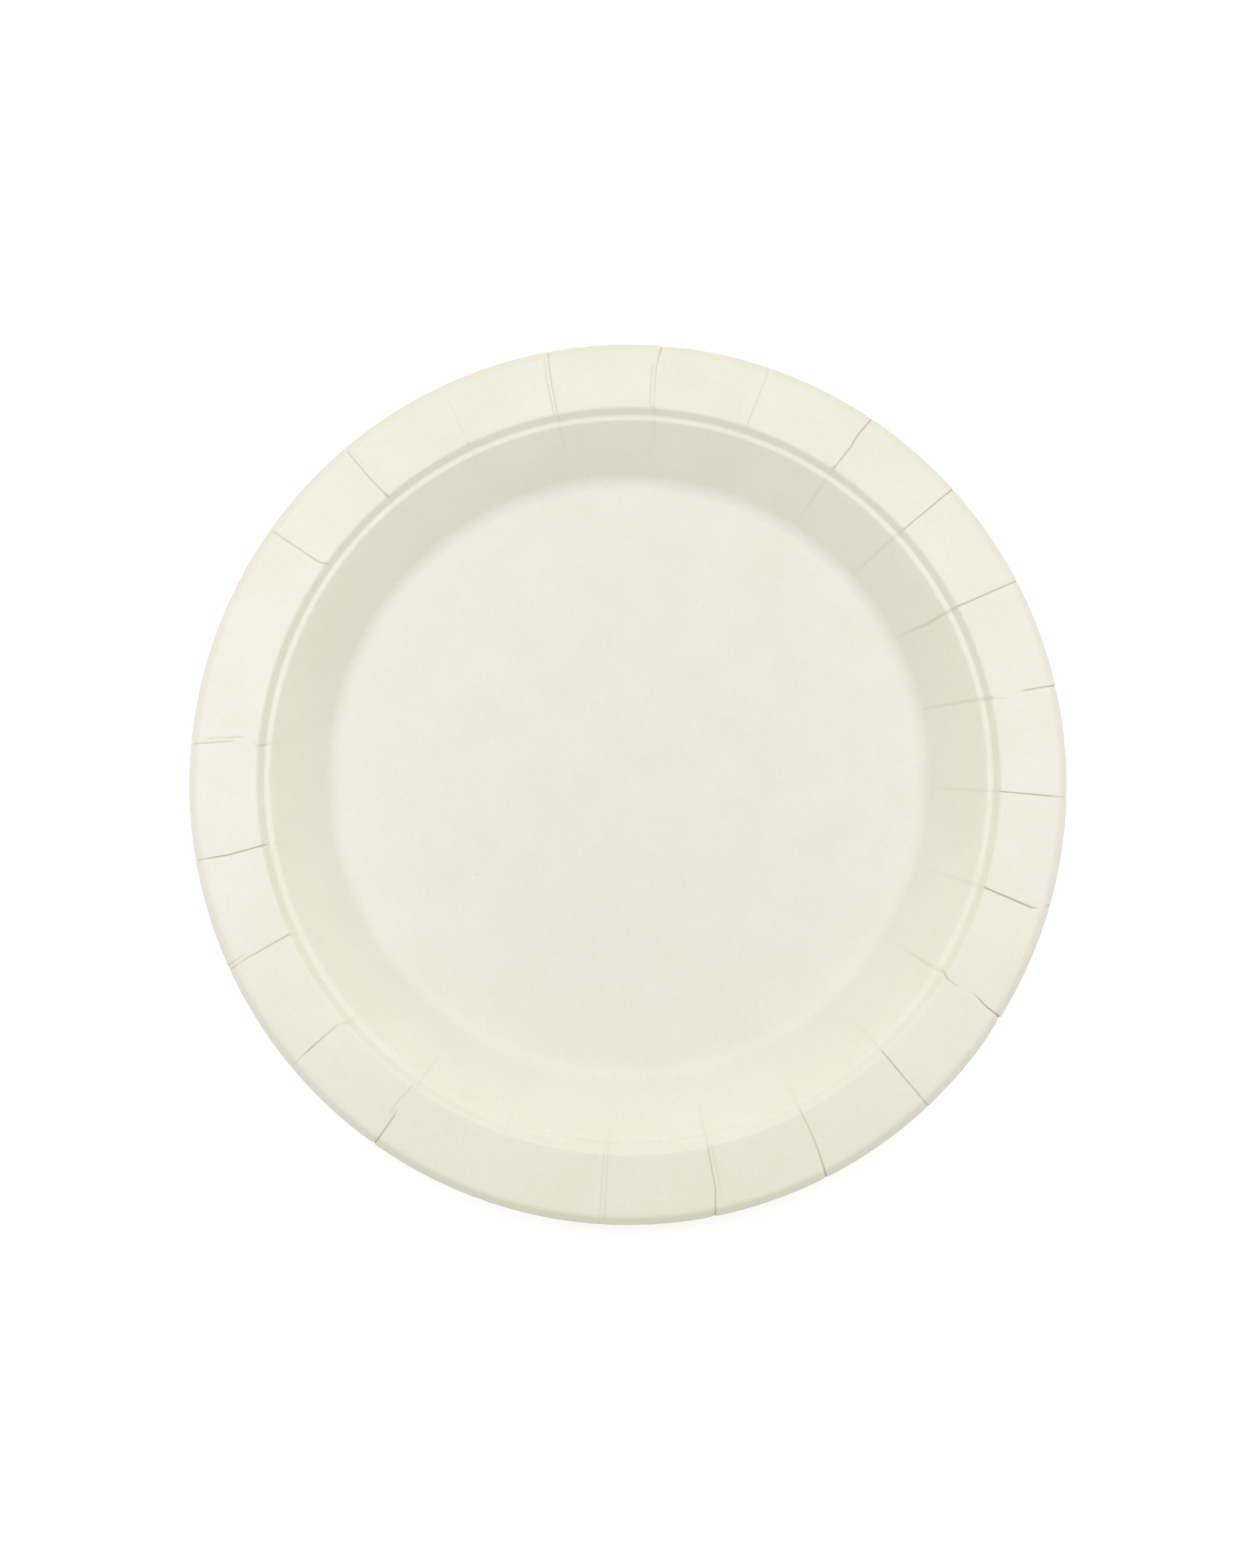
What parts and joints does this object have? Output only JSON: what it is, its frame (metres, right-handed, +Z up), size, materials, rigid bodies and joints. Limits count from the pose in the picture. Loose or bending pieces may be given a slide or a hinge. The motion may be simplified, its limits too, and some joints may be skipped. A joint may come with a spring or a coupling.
{
  "type": "paper plate",
  "caption": "Round pressed paperboard plate: a flat floor, a sloping wall, a narrow ledge, and a broad pleated brim with a turned-down lip.",
  "frame": {"origin": "centre of the floor's underside, on the surface that the plate stands on", "axes": "+Z up along the plate's axis, out of the well; +X to the right and +Y to the top of the picture"},
  "size_m": [0.23, 0.23, 0.0191],
  "materials": {
    "board": "matt cream paperboard with a faint fibre mottle, unprinted"
  },
  "bodies": {
    "root": {"plate": "board"}
  },
  "joints": []
}
